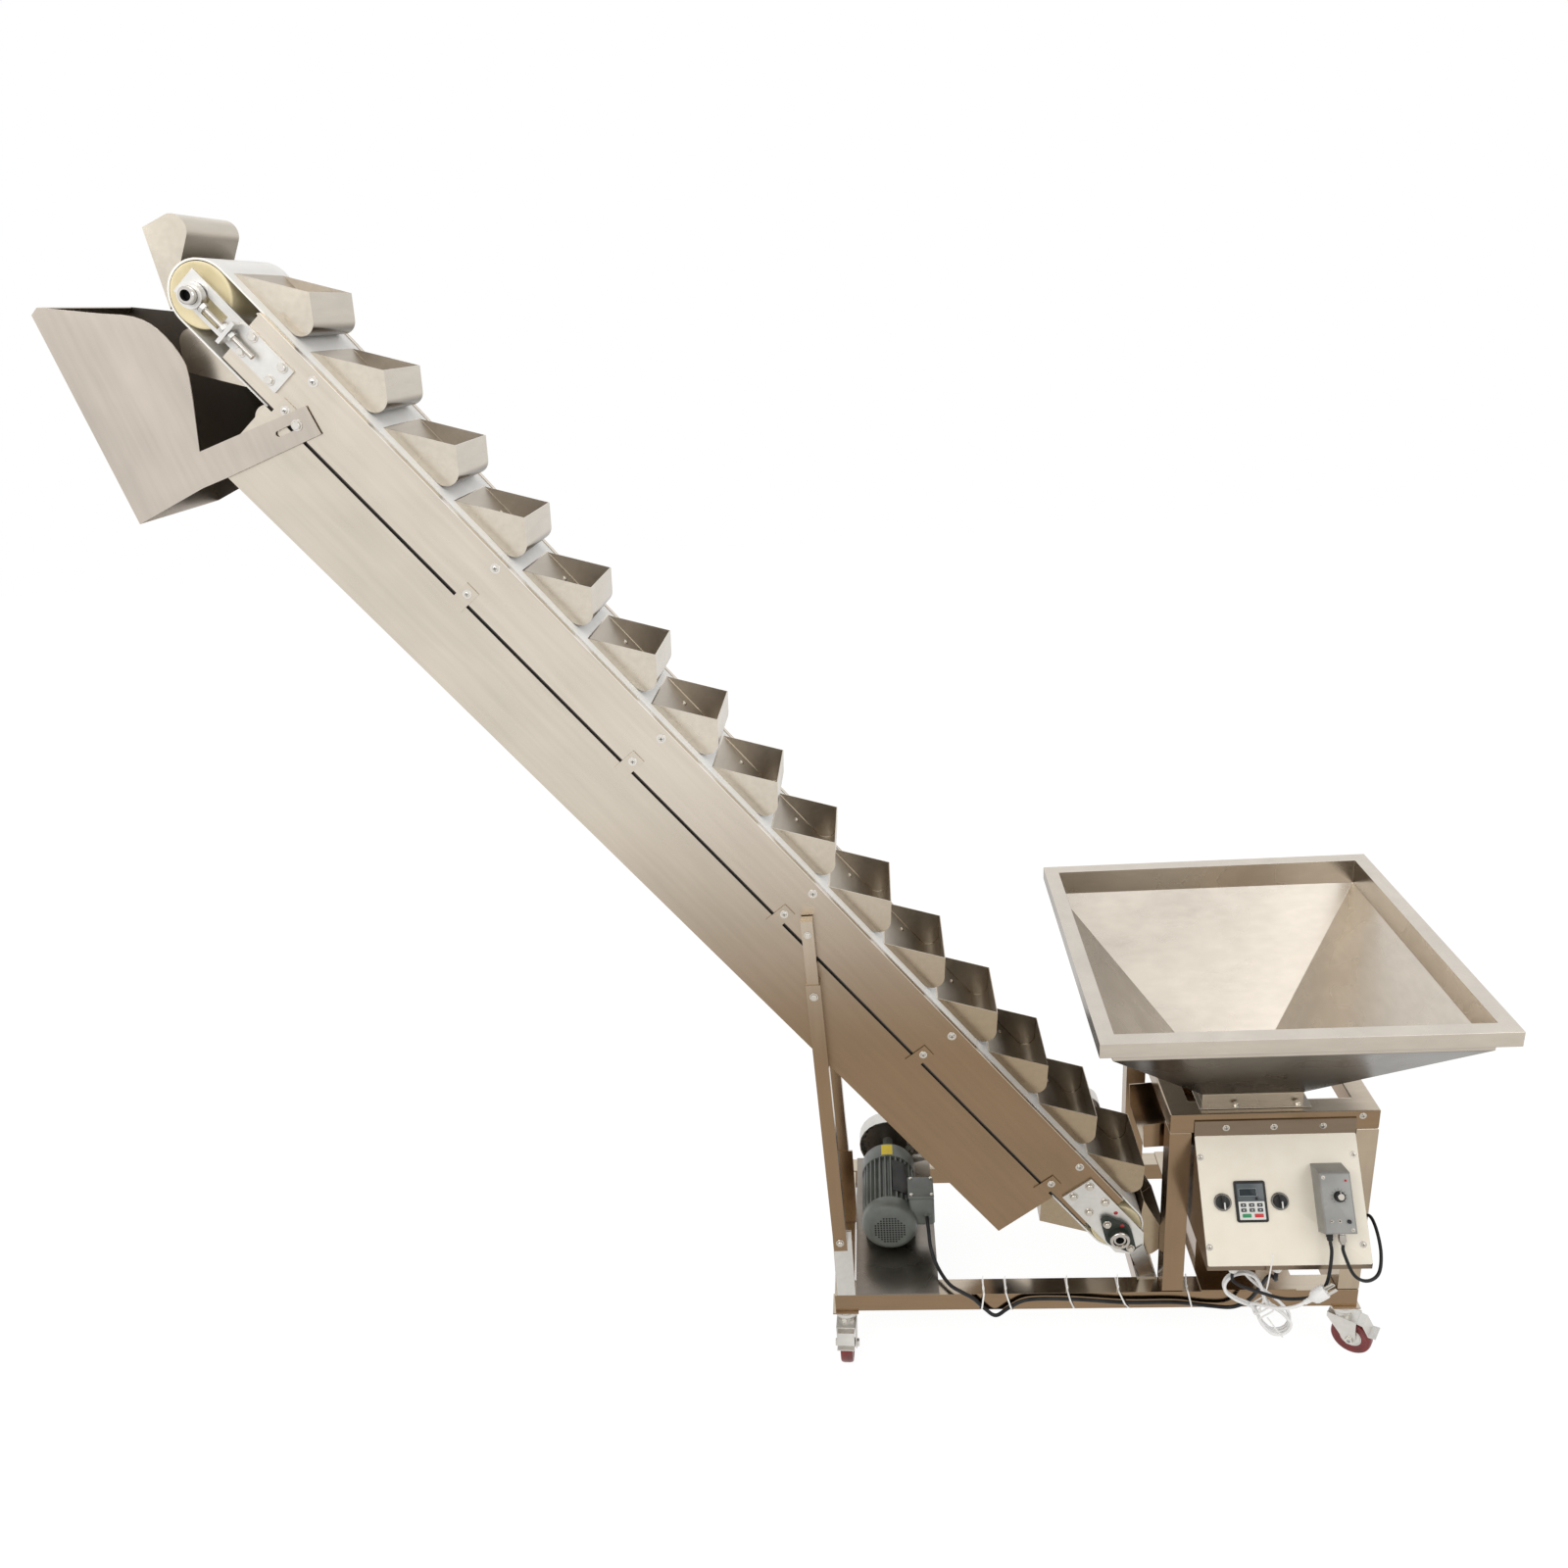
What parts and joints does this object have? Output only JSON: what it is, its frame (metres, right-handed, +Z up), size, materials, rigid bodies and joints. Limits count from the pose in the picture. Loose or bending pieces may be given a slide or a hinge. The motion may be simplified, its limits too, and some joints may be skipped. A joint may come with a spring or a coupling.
{
  "type": "bucket elevator",
  "caption": "Inclined belt elevator with steel buckets, a feed hopper over a vibrating feeder, a chain drive, a control box and a caster base.",
  "frame": {"origin": "on the floor, under the middle of the whole machine's bounding box", "axes": "+Z up; +X from the discharge chute towards the hopper; -Y is the operator's side, with the control box"},
  "size_m": [2.208, 0.65, 2.2021],
  "materials": {
    "stainless": "brushed stainless sheet and tube, warm",
    "zinc_plate": "bright zinc-plated steel",
    "panel_sheet": "satin stainless lid, cream in the light",
    "white_belt": "smooth white belt",
    "cream_pulley": "cream moulded drum",
    "motor_grey": "grey machine paint",
    "controller_grey": "grey powder coat",
    "black_plastic": "black plastic",
    "cast_black": "black-green painted casting",
    "red_tyre": "dark red polyurethane",
    "white_cord": "white flexible PVC"
  },
  "bodies": {
    "machine": {"base_rail_front": "stainless", "base_rail_rear": "stainless", "base_cross_left": "stainless", "base_cross_middle": "stainless", "base_cross_right": "stainless", "stand_post_front_left": "stainless", "stand_post_front_right": "stainless", "stand_post_rear_left": "stainless", "stand_post_rear_right": "stainless", "stand_top_frame": "stainless", "hopper": "stainless", "boom_side_near": "stainless", "boom_side_far": "stainless", "slider_bed": "stainless", "return_pan": "stainless", "strut_near": "stainless", "strut_far": "stainless", "discharge_chute": "stainless", "motor_plate": "stainless", "vibrating_feeder": "stainless", "bucket_02": "stainless", "bucket_03": "stainless", "bucket_04": "stainless", "bucket_05": "stainless", "bucket_06": "stainless", "bucket_07": "stainless", "bucket_08": "stainless", "bucket_09": "stainless", "bucket_10": "stainless", "bucket_11": "stainless", "belt_loop": "white_belt", "take_up_near": "zinc_plate", "take_up_far": "zinc_plate", "tail_bracket_near": "zinc_plate", "tail_bracket_far": "zinc_plate", "tail_bearing_near": "cast_black", "gear_motor": "motor_grey", "chain_guard": "zinc_plate", "control_box": "panel_sheet", "keypad": "black_plastic", "vibration_controller": "controller_grey", "motor_cable": "black_plastic", "controller_supply_lead": "black_plastic", "feeder_lead": "black_plastic", "mains_hank": "white_cord", "mains_plug": "white_cord", "mains_lead": "white_cord"},
    "caster_front_left": {"caster_fork_front_left": "zinc_plate"},
    "wheel_front_left": {"caster_wheel_front_left": "red_tyre"},
    "caster_front_right": {"caster_fork_front_right": "zinc_plate"},
    "wheel_front_right": {"caster_wheel_front_right": "red_tyre"},
    "caster_rear_left": {"caster_fork_rear_left": "zinc_plate"},
    "wheel_rear_left": {"caster_wheel_rear_left": "red_tyre"},
    "caster_rear_right": {"caster_fork_rear_right": "zinc_plate"},
    "wheel_rear_right": {"caster_wheel_rear_right": "red_tyre"},
    "head_drum": {"head_pulley": "cream_pulley"},
    "tail_drum": {"tail_pulley": "cream_pulley"},
    "switch_left_knob": {"switch_left": "black_plastic"},
    "switch_right_knob": {"switch_right": "black_plastic"},
    "speed_dial_knob": {"speed_dial": "black_plastic"}
  },
  "joints": [
    {"name": "caster_front_left_swivel", "type": "hinge", "parent": "machine", "child": "caster_front_left", "pos_m": [0.006, -0.102, 0.1], "axis": [0, 0, 1], "continuous": true},
    {"name": "wheel_front_left_spin", "type": "hinge", "parent": "caster_front_left", "child": "wheel_front_left", "pos_m": [0.00513, -0.12698, 0.0375], "axis": [0.9994, -0.0349, 0], "continuous": true},
    {"name": "caster_front_right_swivel", "type": "hinge", "parent": "machine", "child": "caster_front_right", "pos_m": [0.982, -0.102, 0.1], "axis": [0, 0, 1], "continuous": true},
    {"name": "wheel_front_right_spin", "type": "hinge", "parent": "caster_front_right", "child": "wheel_front_right", "pos_m": [1.00248, -0.11634, 0.0375], "axis": [0.5736, 0.8191, 0], "continuous": true},
    {"name": "caster_rear_left_swivel", "type": "hinge", "parent": "machine", "child": "caster_rear_left", "pos_m": [0.006, 0.271, 0.1], "axis": [0, 0, 1], "continuous": true},
    {"name": "wheel_rear_left_spin", "type": "hinge", "parent": "caster_rear_left", "child": "wheel_rear_left", "pos_m": [0.01034, 0.24638, 0.0375], "axis": [0.9848, 0.1736, 0], "continuous": true},
    {"name": "caster_rear_right_swivel", "type": "hinge", "parent": "machine", "child": "caster_rear_right", "pos_m": [0.982, 0.271, 0.1], "axis": [0, 0, 1], "continuous": true},
    {"name": "wheel_rear_right_spin", "type": "hinge", "parent": "caster_rear_right", "child": "wheel_rear_right", "pos_m": [0.9945, 0.24935, 0.0375], "axis": [0.866, 0.5, 0], "continuous": true},
    {"name": "tail_drum_spin", "type": "hinge", "parent": "machine", "child": "tail_drum", "pos_m": [0.54, 0, 0.307], "axis": [0, 1, 0], "continuous": true},
    {"name": "head_drum_spin", "type": "hinge", "parent": "machine", "child": "head_drum", "pos_m": [-0.84027, 0, 2.08643], "axis": [0, 1, 0], "continuous": true},
    {"name": "switch_left_turn", "type": "hinge", "parent": "machine", "child": "switch_left_knob", "pos_m": [0.71, -0.19881, 0.43987], "axis": [0, -0.8182, 0.5749], "range_deg": [-45, 45]},
    {"name": "switch_right_turn", "type": "hinge", "parent": "machine", "child": "switch_right_knob", "pos_m": [0.811, -0.19881, 0.43987], "axis": [0, -0.8182, 0.5749], "range_deg": [-45, 45]},
    {"name": "speed_dial_turn", "type": "hinge", "parent": "machine", "child": "speed_dial_knob", "pos_m": [0.902, -0.22305, 0.46974], "axis": [0, -0.8182, 0.5749], "range_deg": [-135, 135]}
  ],
  "couplings": [
    {"joint": "head_drum_spin", "follows": "tail_drum_spin", "ratio": 1}
  ]
}
